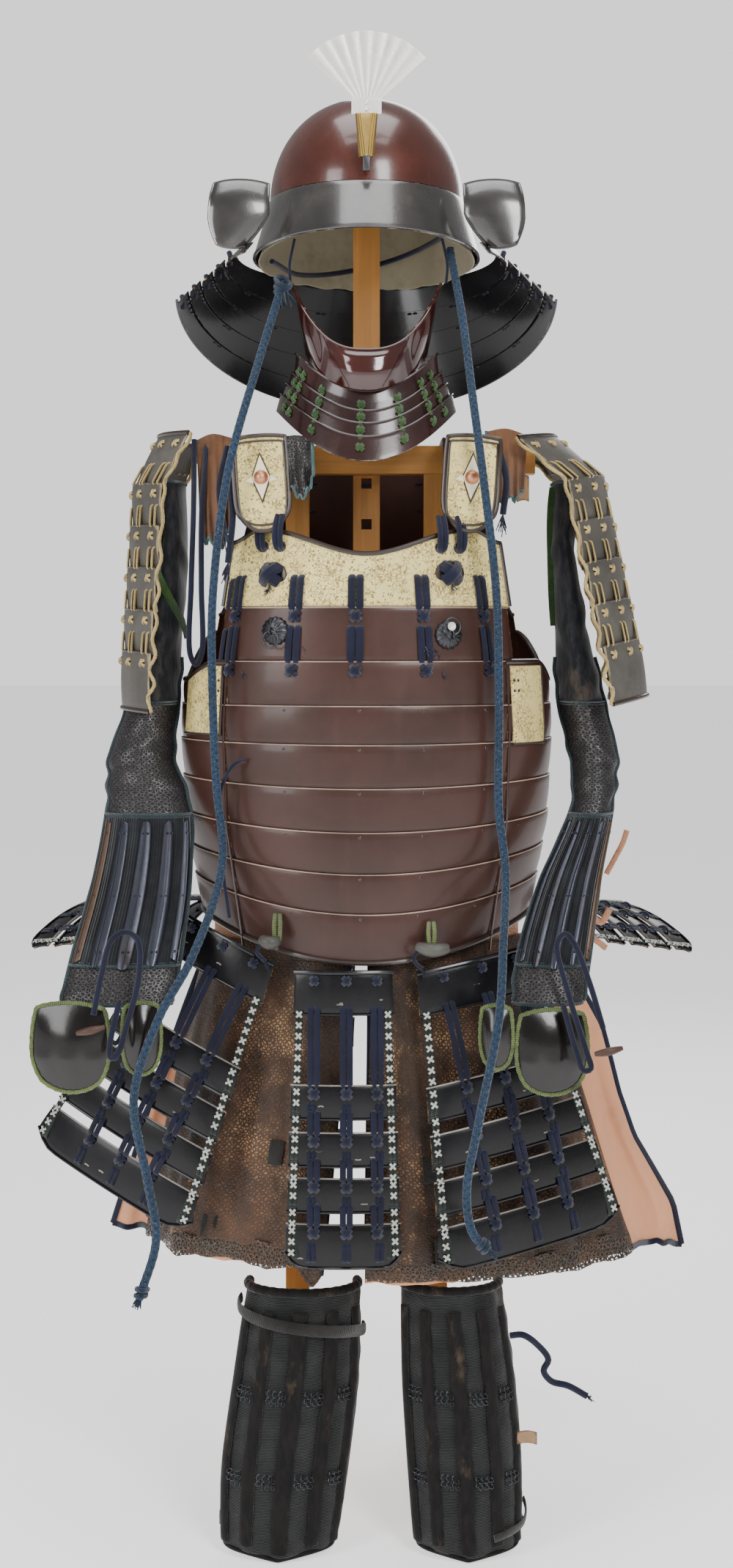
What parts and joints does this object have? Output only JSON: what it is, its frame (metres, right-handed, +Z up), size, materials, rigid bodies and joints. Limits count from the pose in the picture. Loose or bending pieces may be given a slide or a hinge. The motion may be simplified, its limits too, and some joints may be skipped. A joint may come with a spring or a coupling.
{
  "type": "suit of samurai armour on a wooden stand",
  "caption": "Suit of samurai armour on a wooden stand: crested helmet, mask, lamellar cuirass, laced tassets, mailed sleeves, shoulder, thigh and shin guards.",
  "frame": {"origin": "on the floor under the middle of the whole set", "axes": "+Z up, the armour faces -Y, +X to the right as seen from the front"},
  "size_m": [0.7893, 0.491, 1.6197],
  "materials": {
    "wood": "planed, oiled softwood",
    "bowl_lacquer": "glossy reddish lacquer on iron",
    "band_lacquer": "glossy near-black lacquer on iron",
    "black_lacquer": "worn black lacquer on iron and rawhide",
    "mask_lacquer": "glossy dark reddish-brown lacquer on iron",
    "russet_lacquer": "satin russet-brown lacquer on iron",
    "pale_leather": "smoked cream leather with a small dark stencil",
    "grey_leather": "grey lacquered leather lames",
    "brass": "folded sheet brass",
    "bright_metal": "pale polished sheet",
    "iron": "dark forged iron",
    "mail": "rusty ring mail on cloth",
    "dark_cloth": "dark blue-black cloth",
    "shin_cloth": "ribbed blue-grey cloth",
    "splint_hide": "velvety dark brown strips",
    "peach_cloth": "faded peach lining cloth",
    "canvas": "beige canvas",
    "blue_cord": "round braided blue cord",
    "navy_cord": "soft navy cord"
  },
  "bodies": {
    "armour": {"stand_foot_left": "wood", "stand_foot_right": "wood", "stand_upright_left": "wood", "stand_upright_right": "wood", "stand_waist_rail": "wood", "stand_shoulder_bar": "wood", "stand_centre_post": "wood", "helmet_bowl": "bowl_lacquer", "helmet_lining": "canvas", "helmet_brow_band": "band_lacquer", "helmet_neck_guard": "black_lacquer", "helmet_turnback_left": "band_lacquer", "helmet_turnback_right": "band_lacquer", "crest_holder": "brass", "crest_plate": "bright_metal", "half_mask": "mask_lacquer", "throat_guard": "mask_lacquer", "chest_plate": "pale_leather", "upper_plate": "russet_lacquer", "front_lames": "russet_lacquer", "side_plate_left": "russet_lacquer", "side_plate_right": "russet_lacquer", "back_plate": "russet_lacquer", "shoulder_strap_left": "russet_lacquer", "shoulder_strap_right": "russet_lacquer", "strap_plate_left": "pale_leather", "strap_plate_right": "pale_leather", "boss_left": "iron", "boss_right": "iron", "tasset_centre": "black_lacquer", "tasset_left": "black_lacquer", "tasset_right": "black_lacquer", "tasset_side_left": "black_lacquer", "tasset_side_right": "black_lacquer", "tasset_back_left": "black_lacquer", "tasset_back_right": "black_lacquer", "shoulder_guard_left": "grey_leather", "shoulder_guard_right": "grey_leather", "sleeve_left": "dark_cloth", "sleeve_right": "dark_cloth", "forearm_splints_left": "iron", "forearm_splints_right": "iron", "hand_plate_left": "black_lacquer", "hand_plate_right": "black_lacquer", "shin_guard_left": "shin_cloth", "shin_guard_right": "shin_cloth", "shin_splints_left": "splint_hide", "shin_splints_right": "splint_hide", "apron_mail_left": "mail", "apron_mail_right": "mail", "apron_lining": "peach_cloth", "helmet_cord_left": "blue_cord", "helmet_cord_right": "blue_cord", "shoulder_cord": "navy_cord", "side_tie": "navy_cord", "shin_tie": "navy_cord", "wrist_loop_left": "navy_cord", "wrist_loop_right": "navy_cord"},
    "ring_left": {"ring_left": "iron"},
    "ring_right": {"ring_right": "iron"}
  },
  "joints": [
    {"name": "ring_left_swing", "type": "hinge", "parent": "armour", "child": "ring_left", "pos_m": [-0.10119, -0.14337, 0.987], "axis": [-0.9197, 0.3926, 0], "range_deg": [0, 170]},
    {"name": "ring_right_swing", "type": "hinge", "parent": "armour", "child": "ring_right", "pos_m": [0.09054, -0.14788, 0.983], "axis": [0.9384, 0.3456, 0], "range_deg": [0, 180]}
  ]
}
